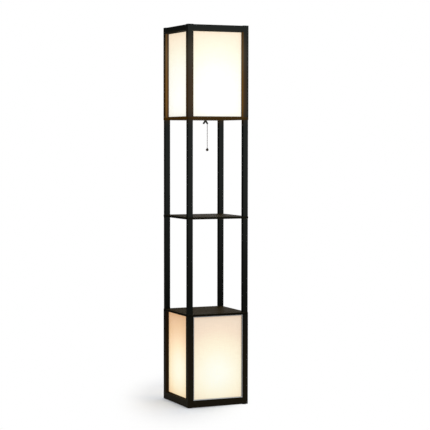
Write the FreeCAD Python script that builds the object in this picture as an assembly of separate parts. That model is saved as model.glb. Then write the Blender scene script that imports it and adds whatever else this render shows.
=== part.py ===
import FreeCAD, Part
import os
from math import acos, cos, hypot, pi, radians, sin, sqrt, tan
from FreeCAD import Vector

# A square floor lamp, in millimetres: a lit box at the top, a lit box at the bottom and two open
# shelf bays between them. +Z is up, -Y is the front, and the origin is on the floor in the middle.
# An "inset" is a distance inwards from the plane of the tower's outer faces.

# Plan, and the stack from the floor up
width = 267.0
foot_height = 2.0
lower_post_length = 369.5
lower_bay_length = 384.5
upper_bay_length = 393.0
upper_post_length = 372.0
shelf_thickness = 9.0
floor_thickness = 11.0

# Timber
box_post = 24.0
bay_post = 21.0
bay_inset = 1.0
rail_thickness = 20.0
rail_inset = 0.5
bottom_rail_height = 28.0
top_rail_height = 24.0
post_stands_over_rail = 1.0
eased_edge = 1.5
tenon_inset = 5.0
tenon_thickness = 8.0
tenon_height = 16.0
tenon_length = 10.0
mortise_play = 0.2
base_thickness = 9.0
base_above_floor = 6.0
base_groove = 5.0
groove_play = 0.1
groove_end_play = 0.5

# Shade sheets, each in grooves behind a slim strip
sheet_thickness = 1.0
sheet_inset = 14.0
sheet_groove = 3.0
strip = 3.0

# Lift-off front panel of the lower box
panel_play = 0.5
panel_inset = 1.0
rim_face = 3.0
rim_depth = 6.0
stop_height = 4.0
stop_depth = 3.6
stop_play = 0.3
magnet_radius = 4.0
magnet_thickness = 2.5
magnet_inset = 6.0
magnet_offset = 70.0
pocket_play = 0.1

# Studs that join the post lengths, wire bore of the back right corner, cord grommet
stud_radius = 3.0
stud_reach = 25.0
stud_inset = 8.0
stud_play = 0.1
glide_radius = 9.0
bore_inset = 17.0
bore_play = 0.4
notch_play = 0.0
lower_notch_height = 66.0
upper_notch_height = 45.0
wire_radius = 1.4
wire_gap = 0.2
grommet_x = 60.0
grommet_height = 21.5
grommet_radius = 4.0
grommet_play = 0.2
grommet_lip = 6.0
lip_thickness = 1.2
lip_recess = 0.2

# Lamp holders and bulbs; the seat is the holder's top, where the glass starts
holder_height = 66.0
holder_radius = 19.0
holder_wall = 2.5
cavity_radius = 14.1
cavity_depth = 30.0
holder_rim = 1.0
terminal_floor_thickness = 3.0
flange_radius = 27.0
flange_thickness = 4.0
screw_radius = 1.7
screw_head = 3.2
screw_head_height = 1.8
screw_sink = 1.5
screw_play = 0.2
slot_width = 0.8
slot_depth = 0.8
screw_circle = 23.0
screw_length = 10.0
shell_radius = 13.85
shell_wall = 0.5
cap_radius = 13.1
cap_length = 25.0
thread_pitch = 3.6
thread_depth = 0.6
tip_radius = 4.0
tip_length = 2.0
globe_radius = 30.0
neck_radius = 14.0
glass_neck_length = 6.7
shoulder_radius = 45.0
glass_wall = 0.8

# Pull switch under the upper holder
housing_radius = 22.0
housing_height = 24.0
housing_wall = 2.0
spigot_height = 1.5
spigot_play = 0.2
neck_bore_play = 1.4
neck_wall = 1.75
thread_gap = 0.2
nut_across_flats = 13.0
nut_thickness = 3.0
nut_web = 0.8
thread_play = 0.1
hub_length = 6.0
hub_bore_play = 1.0
hub_wall = 0.9

# Bead chain, its drum and its spouts
bead_radius = 1.6
bead_gap = 0.9
link_radius = 0.45
chain_play = 0.3
chain_x = 8.0
chain_travel = 5.0
mouth_below_floor = 16.9
bead_in_mouth = 0.5
stub_in_mouth = 0.5
link_gap = 0.15
inner_chain_slant = 8.4
spout_lean = 36.0
spout_wall = 1.9
spout_length = 9.5
spout_tip_x = 8.0
spout_tip_below_floor = 13.1
spout_bore_rise = 2.2
ball_radius = 5.8
ball_below_floor = 121.9
ball_shoulder = 38.0
ball_neck_radius = 2.1
ball_neck_above = 7.6
ball_neck_chamfer = 0.8
ball_bore_depth = 1.0
ball_bore_play = 0.05
ball_gap = 0.3
drum_pitch_radius = 6.6
drum_height = 9.0
drum_flange_over_pitch = 1.0
drum_flange = 1.2
trunnion_radius = 1.5
trunnion_play = 0.05
bearing_gap = 2.7
bearing_thickness = 3.0
bearing_half_width = 4.0
bearing_over_axis = 4.0
cam_side = 6.4
spring_radius = 3.6
side_play = 0.3

half = width / 2
inner = half - box_post
lower_post_top = foot_height + lower_post_length
lower_shelf_top = lower_post_top + shelf_thickness
middle_shelf_base = lower_shelf_top + lower_bay_length
middle_shelf_top = middle_shelf_base + shelf_thickness
floor_base = middle_shelf_top + upper_bay_length
floor_top = floor_base + floor_thickness
height = floor_top + upper_post_length
bottom_rail_top = foot_height + bottom_rail_height
top_rail_top = height - post_stands_over_rail
top_rail_base = top_rail_top - top_rail_height
base_top = base_above_floor + base_thickness
strip_inset = sheet_inset - strip
wire_spacing = 2 * wire_radius + wire_gap
bore_radius = wire_spacing / 2 + wire_radius + bore_play
notch_inset = bore_inset - wire_radius - notch_play
grommet_bore = wire_radius + grommet_play
bead_pitch = 2 * bead_radius + bead_gap
passage = bead_radius + chain_play
spout_radius = passage + spout_wall
hub_bore = bead_radius + hub_bore_play
hub_radius = hub_bore + hub_wall
neck_bore = bead_radius + neck_bore_play
neck_outer = neck_bore + neck_wall
drum_flange_radius = drum_pitch_radius + drum_flange_over_pitch
drum_width = 2 * (passage + drum_flange)
through = 1.0

# Turns about the tower's axis that carry the front, or the front left corner, to the others
sides = {"front": 0, "right": 90, "back": 180, "left": 270}
corners = {"front_left": 0, "front_right": 90, "back_right": 180, "back_left": 270}

nodes = {}


def block(x0, x1, y0, y1, z0, z1):
    return Part.makeBox(x1 - x0, y1 - y0, z1 - z0, Vector(x0, y0, z0))


def slab(reach, z0, z1):
    return block(-reach, reach, -reach, reach, z0, z1)


def disc(radius, x, y, z0, z1):
    return Part.makeCylinder(radius, z1 - z0, Vector(x, y, z0))


def rod(radius, start, end):
    along = end - start
    return Part.makeCylinder(radius, along.Length, start, along)


def fused(solids):
    return solids[0].multiFuse(solids[1:]).removeSplitter() if len(solids) > 1 else solids[0]


def group(solids):
    return Part.makeCompound(solids)


def turned(shape, angle):
    copy = shape.copy()
    copy.rotate(Vector(0, 0, 0), Vector(0, 0, 1), angle)
    return copy


def revolved(points):
    # A closed outline of (radius, height) points, carried round the Z axis
    line = [Vector(r, 0, z) for r, z in points]
    outline = Part.makePolygon(line + line[:1])
    return Part.Face(outline).revolve(Vector(0, 0, 0), Vector(0, 0, 1), 360)


def eased_along(shape, axis):
    # Rounds the long edges that run along one axis, as sanded timber has them
    picked = [e for e in shape.Edges if abs((e.Vertexes[-1].Point - e.Vertexes[0].Point).dot(axis)) > 1]
    return shape.makeFillet(eased_edge, picked)


def in_front_left(x0, x1, y0, y1, z0, z1):
    # A block in the front left corner, from insets in X and Y
    return block(x0 - half, x1 - half, y0 - half, y1 - half, z0, z1)


def both_faces(x0, x1, y0, y1, z0, z1):
    # The same cut in the two inner faces of the front left post
    return [in_front_left(x0, x1, y0, y1, z0, z1), in_front_left(y0, y1, x0, x1, z0, z1)]


# --- Posts ---


def post_blank(section, inset, z0, z1):
    blank = in_front_left(inset, inset + section, inset, inset + section, z0, z1)
    return eased_along(blank, Vector(0, 0, 1))


def stud_hole(z0, z1):
    place = stud_inset - half
    return disc(stud_radius + stud_play, place, place, z0, z1)


def wire_bore(z0, z1):
    place = bore_inset - half
    return disc(bore_radius, place, place, z0, z1)


def mortises(z_middle):
    y0 = tenon_inset - mortise_play
    y1 = tenon_inset + tenon_thickness + mortise_play
    x0 = box_post - tenon_length - mortise_play
    z0 = z_middle - tenon_height / 2 - mortise_play
    z1 = z_middle + tenon_height / 2 + mortise_play
    return both_faces(x0, box_post + through, y0, y1, z0, z1)


def sheet_grooves(z0, z1):
    y0 = sheet_inset - groove_play
    y1 = sheet_inset + sheet_thickness + groove_play
    return both_faces(box_post - sheet_groove, box_post + through, y0, y1, z0, z1)


def notch(z0, z1):
    reach = box_post + through
    return in_front_left(notch_inset, reach, notch_inset, reach, z0, z1)


def make_posts():
    for corner, angle in corners.items():
        wired = corner == "back_right"

        lower = post_blank(box_post, 0, foot_height, lower_post_top)
        grooves = sheet_grooves(bottom_rail_top - sheet_groove, lower_post_top)
        if corner == "front_left":
            grooves = grooves[1:]  # its front face carries the lift-off panel instead
        if corner == "front_right":
            grooves = grooves[:1]
        cuts = mortises(foot_height + bottom_rail_height / 2) + grooves
        cuts.append(stud_hole(lower_post_top - stud_reach, lower_post_top + through))
        if wired:
            cuts.append(notch(base_top, base_top + lower_notch_height))
            cuts.append(wire_bore(base_top, lower_post_top + through))
        nodes[f"lower_post_{corner}"] = turned(lower.cut(cuts), angle)

        bays = {
            "lower_bay_post": (lower_shelf_top, middle_shelf_base),
            "upper_bay_post": (middle_shelf_top, floor_base),
        }
        for name, (z0, z1) in bays.items():
            bay = post_blank(bay_post, bay_inset, z0, z1)
            cuts = [stud_hole(z0 - through, z0 + stud_reach), stud_hole(z1 - stud_reach, z1 + through)]
            if wired:
                cuts.append(wire_bore(z0 - through, z1 + through))
            nodes[f"{name}_{corner}"] = turned(bay.cut(cuts), angle)

        upper = post_blank(box_post, 0, floor_top, height)
        cuts = mortises(top_rail_base + top_rail_height / 2)
        cuts += sheet_grooves(floor_top, top_rail_base + sheet_groove)
        cuts.append(stud_hole(floor_top - through, floor_top + stud_reach))
        if wired:
            cuts.append(notch(floor_top - through, floor_top + upper_notch_height))
            cuts.append(wire_bore(floor_top - through, floor_top + upper_notch_height))
        nodes[f"upper_post_{corner}"] = turned(upper.cut(cuts), angle)


# --- Rails ---


def rail_blank(z0, z1):
    # A front rail with a tenon at each end
    y0 = rail_inset - half
    timber = eased_along(block(-inner, inner, y0, y0 + rail_thickness, z0, z1), Vector(1, 0, 0))
    middle = (z0 + z1) / 2
    reach = inner + tenon_length
    tenon_y = tenon_inset - half
    tenon = block(-reach, reach, tenon_y, tenon_y + tenon_thickness,
                  middle - tenon_height / 2, middle + tenon_height / 2)
    return timber.fuse(tenon).removeSplitter()


def rail_groove(z0, z1):
    y0 = sheet_inset - groove_play - half
    y1 = sheet_inset + sheet_thickness + groove_play - half
    return block(-inner, inner, y0, y1, z0, z1)


def magnet(side, z0, play):
    y = magnet_inset - half
    return disc(magnet_radius + play, side * magnet_offset, y, z0, z0 + magnet_thickness)


def make_rails():
    rail_inner = rail_inset + rail_thickness - half
    for side, angle in sides.items():
        rail = rail_blank(foot_height, bottom_rail_top)
        cuts = [block(-inner, inner, rail_inner - base_groove, rail_inner + through,
                      base_above_floor - groove_play, base_top + groove_play)]
        if side == "front":
            for hand in (-1, 1):
                cuts.append(magnet(hand, bottom_rail_top - magnet_thickness, pocket_play))
        else:
            cuts.append(rail_groove(bottom_rail_top - sheet_groove, bottom_rail_top + through))
        if side == "back":
            face = Vector(-grommet_x, rail_inset - half - through, grommet_height)
            inward = Vector(0, 1, 0)
            cuts.append(Part.makeCylinder(grommet_radius, rail_thickness + 2 * through, face, inward))
            recess = lip_thickness - rail_inset + lip_recess + through
            cuts.append(Part.makeCylinder(grommet_lip, recess, face, inward))
        nodes[f"bottom_rail_{side}"] = turned(rail.cut(cuts), angle)

        rail = rail_blank(top_rail_base, top_rail_top)
        cuts = [rail_groove(top_rail_base - through, top_rail_base + sheet_groove)]
        nodes[f"top_rail_{side}"] = turned(rail.cut(cuts), angle)


# --- Boards ---


def board_blank(z0, z1):
    blank = slab(half, z0, z1)
    return blank.makeFillet(eased_edge, blank.Edges)


def corner_holes(z0, z1):
    holes = [turned(stud_hole(z0 - through, z1 + through), angle) for angle in corners.values()]
    return holes + [turned(wire_bore(z0 - through, z1 + through), corners["back_right"])]


def holder_screw_places():
    return [(hand * screw_circle, 0) for hand in (-1, 1)]


def make_boards():
    board = board_blank(lower_post_top, lower_shelf_top)
    cuts = corner_holes(lower_post_top, lower_shelf_top)
    cuts += [magnet(hand, lower_post_top, pocket_play) for hand in (-1, 1)]
    nodes["lower_shelf"] = board.cut(cuts)

    board = board_blank(middle_shelf_base, middle_shelf_top)
    nodes["middle_shelf"] = board.cut(corner_holes(middle_shelf_base, middle_shelf_top))

    board = board_blank(floor_base, floor_top)
    cuts = corner_holes(floor_base, floor_top)
    cuts.append(disc(neck_outer + thread_play, 0, 0, floor_base - through, floor_top + through))
    nodes["upper_floor"] = board.cut(cuts)

    reach = half - rail_inset - rail_thickness + base_groove - groove_end_play
    board = slab(reach, base_above_floor, base_top)
    post_face = box_post + groove_end_play
    corner = in_front_left(0, post_face, 0, post_face, base_above_floor - through, base_top + through)
    cuts = [turned(corner, angle) for angle in corners.values()]
    for x, y in holder_screw_places():
        cuts.append(disc(screw_radius, x, y, base_top - screw_length, base_top + through))
    nodes["base_board"] = board.cut(cuts)


# --- Shades ---


def front_ring(inset, depth, face, reach, z0, z1):
    # A flat frame standing at the front, as a picture frame does
    y0 = inset - half
    outer = block(-reach, reach, y0, y0 + depth, z0, z1)
    hole = block(face - reach, reach - face, y0 - through, y0 + depth + through, z0 + face, z1 - face)
    return outer.cut(hole)


def shade_sheet(z0, z1):
    reach = inner + sheet_groove - groove_end_play
    y0 = sheet_inset - half
    return block(-reach, reach, y0, y0 + sheet_thickness, z0, z1)


def make_shades():
    engaged = sheet_groove - groove_end_play
    strips = []
    for side, angle in sides.items():
        nodes[f"upper_shade_{side}"] = turned(shade_sheet(floor_top, top_rail_base + engaged), angle)
        ring = front_ring(strip_inset, strip, strip, inner, floor_top, top_rail_base)
        strips.append(turned(ring, angle))
        if side == "front":
            continue
        sheet = shade_sheet(bottom_rail_top - engaged, lower_post_top)
        nodes[f"lower_shade_{side}"] = turned(sheet, angle)
        ring = front_ring(strip_inset, strip, strip, inner, bottom_rail_top, lower_post_top)
        strips.append(turned(ring, angle))

    z0 = bottom_rail_top + panel_play
    z1 = lower_post_top - panel_play
    reach = inner - panel_play
    rim = front_ring(panel_inset, rim_depth, rim_face, reach, z0, z1)
    nodes["front_panel_rim"] = rim
    y0 = panel_inset + rim_depth - half
    nodes["front_panel_shade"] = block(-reach, reach, y0, y0 + sheet_thickness, z0, z1)

    y0 += sheet_thickness + stop_play
    y1 = y0 + stop_depth
    strips.append(block(-inner, inner, y0, y1, bottom_rail_top, bottom_rail_top + stop_height))
    strips.append(block(-inner, inner, y0, y1, lower_post_top - stop_height, lower_post_top))
    nodes["shade_strips"] = group(strips)

    magnets = []
    for hand in (-1, 1):
        magnets.append(magnet(hand, bottom_rail_top - magnet_thickness, 0))
        magnets.append(magnet(hand, lower_post_top, 0))
    nodes["panel_magnets"] = group(magnets)


# --- Studs, glides, grommet and wires ---


def make_hardware():
    joints = [
        (lower_post_top, lower_shelf_top),
        (middle_shelf_base, middle_shelf_top),
        (floor_base, floor_top),
    ]
    place = stud_inset - half
    end_play = 0.5
    studs = []
    for z0, z1 in joints:
        stud = disc(stud_radius, place, place, z0 - stud_reach + end_play, z1 + stud_reach - end_play)
        studs += [turned(stud, angle) for angle in corners.values()]
    nodes["post_studs"] = group(studs)

    middle = box_post / 2 - half
    glide = disc(glide_radius, middle, middle, 0, foot_height)
    nodes["foot_glides"] = group([turned(glide, angle) for angle in corners.values()])

    outside = half - lip_recess
    lip = Vector(grommet_x, outside, grommet_height)
    inward = Vector(0, -1, 0)
    sleeve_length = rail_inset + rail_thickness - lip_recess
    grommet = Part.makeCylinder(grommet_lip, lip_thickness, lip, inward)
    grommet = grommet.fuse(Part.makeCylinder(grommet_radius, sleeve_length, lip, inward))
    bore = Part.makeCylinder(grommet_bore, sleeve_length + through, lip, inward)
    nodes["cord_grommet"] = grommet.cut(bore).removeSplitter()


def tube(points, radius):
    # Straight runs joined by tangent arcs, each as large as its two runs allow
    share = 0.45
    edges = []
    start = points[0]
    length = 0.0
    for before, corner, after in zip(points, points[1:], points[2:]):
        back = before - corner
        ahead = after - corner
        turn = pi - back.getAngle(ahead)
        cut = share * min(back.Length, ahead.Length)
        bend = cut / tan(turn / 2)
        back.normalize()
        ahead.normalize()
        first = corner + back * cut
        last = corner + ahead * cut
        bisector = back + ahead
        bisector.normalize()
        middle = corner + bisector * (bend / cos(turn / 2) - bend)
        edges.append(Part.LineSegment(start, first).toShape())
        edges.append(Part.Arc(first, middle, last).toShape())
        length += (first - start).Length + bend * turn
        print(f"wire bend of {bend:.1f} mm")
        start = last
    edges.append(Part.LineSegment(start, points[-1]).toShape())
    length += (points[-1] - start).Length
    path = Part.Wire(edges)
    circle = Part.Circle(points[0], points[1] - points[0], radius).toShape()
    solid = path.makePipeShell([Part.Wire(circle)], True, False)
    print(f"wire volume over section times length {solid.Volume / (pi * radius**2 * length):.4f}")
    return solid


def make_wires():
    bore = half - bore_inset
    offset = wire_spacing / 2 / sqrt(2)
    on_base = base_top + wire_radius + 0.4
    on_floor = floor_top + wire_radius + 0.4
    entry = base_top + flange_thickness + wire_radius + 1.5
    into_wall = housing_wall + 1.0
    # The supply, from the grommet to the switch, on the back left side of the bore
    x = bore - offset
    y = bore + offset
    reach = (housing_radius - into_wall) / sqrt(2)
    supply = [
        Vector(grommet_x, half - 2.0, grommet_height),
        Vector(grommet_x, half - 44, grommet_height),
        Vector(grommet_x + 24, half - 46, on_base),
        Vector(x - 12, y - 9, on_base + 1),
        Vector(x, y, base_top + 42),
        Vector(x, y, floor_top + 4),
        Vector(x - 8, y - 7, floor_top + 32),
        Vector(x - 42, y - 42, on_floor + 3),
        Vector(reach - offset, reach + offset, on_floor + 6),
    ]
    # The switched lead, from the switch down to the lower holder, on the other side of the bore
    x = bore + offset
    y = bore - offset
    lower_reach = (holder_radius - into_wall) / sqrt(2)
    lead = [
        Vector(lower_reach, lower_reach, entry),
        Vector(lower_reach + 22, lower_reach + 19, entry),
        Vector(x - 42, y - 46, on_base),
        Vector(x - 9, y - 12, on_base + 1),
        Vector(x, y, base_top + 42),
        Vector(x, y, floor_top + 4),
        Vector(x - 7, y - 8, floor_top + 32),
        Vector(x - 42, y - 42, on_floor + 3),
        Vector(reach + offset, reach - offset, on_floor + 6),
    ]
    nodes["internal_wires"] = group([tube(supply, wire_radius), tube(lead, wire_radius)])
    ends = [(supply[-1], supply[-2]), (lead[-1], lead[-2])]
    return ends, (lead[0], lead[1])


def wire_hole(end, towards):
    along = end - towards
    along.normalize()
    return rod(wire_radius + 0.2, end - along * 12, end + along * 2)


# --- Lamp holders and bulbs ---


def lamp_holder(foot, z0, seat):
    # A hollow foot, then the terminals' floor, then the cavity for the bulb's cap
    cavity_floor = seat - cavity_depth
    terminal_floor = cavity_floor - terminal_floor_thickness
    terminal_radius = holder_radius - holder_wall
    contact_hole = tip_radius - 1
    return revolved(foot + [
        (holder_radius, seat - holder_rim),
        (holder_radius - holder_rim, seat),
        (cavity_radius, seat),
        (cavity_radius, cavity_floor),
        (contact_hole, cavity_floor),
        (contact_hole, terminal_floor),
        (terminal_radius, terminal_floor),
        (terminal_radius, z0),
    ])


def make_holders(lead_end):
    seat = base_top + holder_height
    flange_top = base_top + flange_thickness
    foot = [(flange_radius, base_top), (flange_radius, flange_top), (holder_radius, flange_top)]
    holder = lamp_holder(foot, base_top, seat)
    cuts = [wire_hole(*lead_end)]
    screws = []
    for x, y in holder_screw_places():
        head_base = flange_top - screw_sink
        cuts.append(disc(screw_radius + screw_play, x, y, base_top - through, flange_top))
        cuts.append(disc(screw_head + screw_play, x, y, head_base, flange_top + through))
        shank = disc(screw_radius, x, y, base_top - screw_length + 1, head_base)
        head = disc(screw_head, x, y, head_base, head_base + screw_head_height)
        slot_base = head_base + screw_head_height - slot_depth
        slot = block(x - screw_head, x + screw_head, y - slot_width / 2, y + slot_width / 2,
                     slot_base, slot_base + slot_depth + through)
        screws.append(shank.fuse(head).cut(slot).removeSplitter())
    nodes["lower_lamp_holder"] = holder.cut(cuts)
    nodes["holder_screws"] = group(screws)

    upper_seat = floor_top + holder_height
    joint = floor_top + housing_height
    spigot = housing_radius - housing_wall - spigot_play
    skirt_top = joint + flange_thickness
    foot = [
        (spigot, joint - spigot_height),
        (spigot, joint),
        (housing_radius, joint),
        (housing_radius, skirt_top),
        (holder_radius, skirt_top),
    ]
    nodes["upper_lamp_holder"] = lamp_holder(foot, joint - spigot_height, upper_seat)

    shells = []
    caps = []
    for name, z in (("lower", seat), ("upper", upper_seat)):
        cavity_floor = z - cavity_depth
        shells.append(revolved([
            (0, cavity_floor),
            (shell_radius, cavity_floor),
            (shell_radius, z - 1),
            (shell_radius - shell_wall, z - 1),
            (shell_radius - shell_wall, cavity_floor + shell_wall),
            (tip_radius - 1, cavity_floor + shell_wall),
            (tip_radius - 1, z - cap_length - tip_length - 0.3),
            (0, z - cap_length - tip_length - 0.3),
        ]))
        caps.append(bulb_cap(z))
        nodes[f"{name}_bulb_glass"] = bulb_glass(z)
    nodes["socket_shells"] = group(shells)
    nodes["bulb_caps"] = group(caps)


def bulb_cap(seat):
    root = cap_radius - thread_depth
    outline = [(0, seat), (root, seat)]
    turns = 5
    for turn in range(turns):
        z = seat - 3.0 - turn * thread_pitch
        outline += [(root, z), (cap_radius, z - thread_pitch / 2), (root, z - thread_pitch)]
    foot = seat - cap_length
    outline += [(root, foot + 2.5), (tip_radius + 1, foot), (tip_radius, foot - tip_length)]
    outline.append((0, foot - tip_length))
    kept = [p for i, p in enumerate(outline) if i == 0 or p != outline[i - 1]]
    return revolved(kept)


def bulb_outline(seat, wall):
    # A globe and its neck, joined by one hollow arc that is tangent to both
    span = neck_radius + shoulder_radius
    drop = sqrt((globe_radius + shoulder_radius) ** 2 - span**2)
    centre = seat + glass_neck_length + drop
    lean = acos(span / (globe_radius + shoulder_radius))
    globe = globe_radius - wall
    hollow = shoulder_radius + wall
    tangent = Vector(globe * cos(lean), 0, centre - globe * sin(lean))
    top = Vector(0, 0, centre + globe)
    side = Vector(globe, 0, centre)
    neck_top = Vector(neck_radius - wall, 0, centre - drop)
    half_lean = lean / 2
    waist = Vector(span - hollow * cos(half_lean), 0, centre - drop + hollow * sin(half_lean))
    neck_end = Vector(neck_radius - wall, 0, seat)
    on_axis = Vector(0, 0, seat)
    return Part.Face(Part.Wire([
        Part.Arc(top, side, tangent).toShape(),
        Part.Arc(tangent, waist, neck_top).toShape(),
        Part.LineSegment(neck_top, neck_end).toShape(),
        Part.LineSegment(neck_end, on_axis).toShape(),
        Part.LineSegment(on_axis, top).toShape(),
    ]))


def bulb_glass(seat):
    full_turn = (Vector(0, 0, 0), Vector(0, 0, 1), 360)
    outside = bulb_outline(seat, 0).revolve(*full_turn)
    inside = bulb_outline(seat, glass_wall).revolve(*full_turn)
    foot_ring = disc(neck_radius, 0, 0, seat, seat + glass_wall)
    foot_ring = foot_ring.cut(disc(cap_radius - thread_depth - 1.5, 0, 0, seat, seat + glass_wall))
    return outside.cut(inside).fuse(foot_ring).removeSplitter()


# --- Pull switch and chain ---


def make_switch(wire_ends):
    z0 = floor_top
    z1 = floor_top + housing_height
    wall = disc(housing_radius, 0, 0, z0, z1)
    wall = wall.cut(disc(housing_radius - housing_wall, 0, 0, z0 + housing_wall, z1 + through))
    nut_top = floor_base
    thread_end = nut_top - nut_thickness + nut_web + thread_gap
    neck = disc(neck_outer, 0, 0, thread_end, z0 + housing_wall)
    axis = Vector(-drum_pitch_radius, 0, z0 + housing_wall + drum_height)
    parts = [wall, neck]
    for hand in (-1, 1):
        near = (drum_width / 2 + bearing_gap) * hand
        far = near + bearing_thickness * hand
        parts.append(block(axis.x - bearing_half_width, axis.x + bearing_half_width,
                           min(near, far), max(near, far), z0, axis.z + bearing_over_axis))
    housing = fused(parts)
    cuts = [disc(neck_bore, 0, 0, thread_end - through, z0 + housing_wall + through)]
    reach = drum_width / 2 + bearing_gap + bearing_thickness
    ends = Vector(0, reach + through, 0)
    cuts.append(rod(trunnion_radius + trunnion_play, axis - ends, axis + ends))
    cuts += [wire_hole(end, towards) for end, towards in wire_ends]
    nodes["switch_housing"] = housing.cut(cuts)

    make_drum(axis, reach)
    make_chain(axis, nut_top)


def make_drum(axis, reach):
    across = Vector(0, 1, 0)
    edge = drum_width / 2
    groove = edge - drum_flange
    root = drum_pitch_radius - passage
    parts = [rod(root, axis - across * edge, axis + across * edge)]
    for hand in (-1, 1):
        near = axis + across * (groove * hand)
        far = axis + across * (edge * hand)
        parts.append(rod(drum_flange_radius, near, far))
    parts.append(rod(trunnion_radius, axis - across * reach, axis + across * reach))
    cam = block(axis.x - cam_side / 2, axis.x + cam_side / 2, -edge - bearing_gap + side_play, -edge,
                axis.z - cam_side / 2, axis.z + cam_side / 2)
    nodes["switch_drum"] = fused(parts + [cam])

    near = axis + across * (edge + side_play)
    far = axis + across * (edge + bearing_gap)
    ring = rod(spring_radius, near, far)
    nodes["switch_spring"] = ring.cut(rod(trunnion_radius + side_play, near - across, far + across))


def beads(places, link_from=None, link_to=None):
    # Hollow balls on a wire, drawn as one string
    stops = ([link_from] if link_from else []) + places + ([link_to] if link_to else [])
    string = [Part.makeSphere(bead_radius, place) for place in places]
    string += [rod(link_radius, a, b) for a, b in zip(stops, stops[1:])]
    return fused(string)


def spout(hand):
    lean = radians(spout_lean)
    tip = Vector(hand * spout_tip_x, 0, floor_base - spout_tip_below_floor)
    up = Vector(-hand * sin(lean), 0, cos(lean))
    top = tip + up * spout_length
    body = rod(spout_radius, tip, top).fuse(Part.makeSphere(spout_radius, tip))
    bores = [rod(passage, tip, top + up * spout_radius), Part.makeSphere(passage, tip)]
    mouth = Vector(hand * chain_x, 0, tip.z)
    below = Vector(0, 0, spout_radius + through)
    bores.append(rod(passage, mouth - below, mouth + Vector(0, 0, spout_bore_rise)))
    return body, bores, top


def make_chain(axis, nut_top):
    nut_base = nut_top - nut_thickness
    hub_base = nut_base - hub_length
    corner = nut_across_flats / sqrt(3)
    hexagon = [Vector(corner * cos(k * pi / 3), corner * sin(k * pi / 3), nut_base) for k in range(7)]
    nut = Part.Face(Part.makePolygon(hexagon)).extrude(Vector(0, 0, nut_thickness))
    hub = disc(hub_radius, 0, 0, hub_base + hub_radius, nut_base)
    hub = hub.fuse(Part.makeSphere(hub_radius, Vector(0, 0, hub_base + hub_radius)))
    shell = fused([nut, hub])
    cavity = [disc(neck_outer + thread_play, 0, 0, nut_base + nut_web, nut_top + through)]
    cavity.append(disc(hub_bore, 0, 0, hub_base + hub_radius, nut_base + through))
    tips = []
    for hand in (-1, 1):
        body, bores, top = spout(hand)
        tips.append(body.cut(bores + [nut, hub]))
        cavity += bores
    nodes["hub_nut"] = shell.cut(cavity)
    nodes["chain_spouts"] = group(tips)

    make_inner_chain(axis)
    # The top bead waits inside the spout, so that the chain still fills it when it is pulled
    down = Vector(0, 0, -bead_pitch)
    mouth = floor_base - mouth_below_floor
    second = Vector(chain_x, 0, mouth + bead_in_mouth - bead_radius)
    first = second - down
    stub = Vector(chain_x, 0, mouth + chain_travel + stub_in_mouth)
    meets = second + Vector(0, 0, bead_radius + link_gap)
    nodes["chain_top_bead"] = beads([first], stub, meets)
    nodes["chain_yoke_bead"] = Part.makeSphere(bead_radius, second)

    ball = Vector(chain_x, 0, floor_base - ball_below_floor)
    neck_top = ball.z + ball_neck_above
    count = int((second.z - neck_top - bead_radius - ball_gap) / bead_pitch)
    places = [second + down * (k + 1) for k in range(count)]
    last = Vector(chain_x, 0, neck_top - ball_bore_depth)
    nodes["pull_chain"] = beads(places, second - Vector(0, 0, bead_radius + link_gap), last)
    make_ball(ball, neck_top, last)
    print(f"pull chain of {len(places) + 2} beads, swing pivot at {second.z:.2f}, drum axis {axis}")


def make_ball(centre, neck_top, chain_end):
    # A ball drawn up into a small neck, bored for the end of the chain
    lean = radians(ball_shoulder)
    flank = Vector(ball_radius * sin(lean), 0, ball_radius * cos(lean)) + Vector(0, 0, centre.z)
    side = Vector(ball_radius, 0, centre.z)
    bottom = Vector(0, 0, centre.z - ball_radius)
    neck = Vector(ball_neck_radius, 0, neck_top - ball_neck_chamfer)
    bore = Vector(link_radius + ball_bore_play, 0, neck_top)
    end = Vector(link_radius + ball_bore_play, 0, chain_end.z)
    outline = Part.Wire([
        Part.Arc(bottom, side, flank).toShape(),
        Part.LineSegment(flank, neck).toShape(),
        Part.LineSegment(neck, bore).toShape(),
        Part.LineSegment(bore, end).toShape(),
        Part.LineSegment(end, Vector(0, 0, chain_end.z)).toShape(),
        Part.LineSegment(Vector(0, 0, chain_end.z), bottom).toShape(),
    ])
    ball = Part.Face(outline).revolve(Vector(0, 0, 0), Vector(0, 0, 1), 360)
    ball.translate(Vector(centre.x, 0, 0))
    nodes["pull_ball"] = ball


def make_inner_chain(axis):
    # From the drum's top over its right side, down the neck and out towards the right spout
    lean = radians(spout_lean)
    tip_z = floor_base - spout_tip_below_floor
    bend_z = tip_z + spout_tip_x / tan(lean)
    quarter = drum_pitch_radius * pi / 2
    fall = axis.z - bend_z

    def along(s):
        if s < quarter:
            angle = pi / 2 - s / drum_pitch_radius
            return axis + Vector(drum_pitch_radius * cos(angle), 0, drum_pitch_radius * sin(angle))
        if s < quarter + fall:
            return Vector(0, 0, axis.z - (s - quarter))
        rest = s - quarter - fall
        return Vector(rest * sin(lean), 0, bend_z - rest * cos(lean))

    total = quarter + fall + inner_chain_slant
    count = int(total / bead_pitch)
    places = [along(total - bead_pitch * k) for k in range(count + 1)]
    nodes["inner_chain"] = beads(places)


make_posts()
make_rails()
make_boards()
make_shades()
make_hardware()
wire_ends, lead_end = make_wires()
make_holders(lead_end)
make_switch(wire_ends)

os.makedirs("parts", exist_ok=True)
for name, shape in nodes.items():
    shape.exportStep(f"parts/{name}.step")
    if not shape.isValid() or not shape.Solids:
        print("CHECK", name, shape.ShapeType, len(shape.Solids))
print(f"{len(nodes)} nodes, {width:g} x {width:g} x {height:g} mm")
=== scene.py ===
import math

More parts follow.
